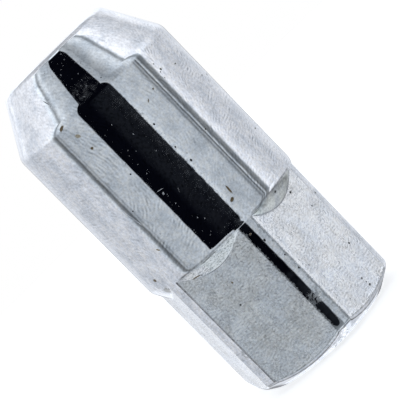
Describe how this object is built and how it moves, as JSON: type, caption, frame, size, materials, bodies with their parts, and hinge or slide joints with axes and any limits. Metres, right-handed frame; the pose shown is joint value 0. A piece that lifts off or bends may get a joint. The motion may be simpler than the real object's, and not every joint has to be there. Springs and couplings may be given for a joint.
{
  "type": "wheel nut",
  "caption": "Long wheel nut with a conical seat at one end, a plain round body and a chamfered wrench hexagon, threaded right through for a stud.",
  "frame": {"origin": "centre of the hexagon's end face, which the nut stands on", "axes": "+Z along the thread from the hexagon to the conical seat, +X towards a corner of the hexagon, +Y out of one of its flats"},
  "size_m": [0.021, 0.021, 0.0429],
  "materials": {
    "plated_steel": "bright plated steel with fine turning marks, satin on the flats"
  },
  "bodies": {
    "root": {"wheel_nut": "plated_steel"}
  },
  "joints": []
}
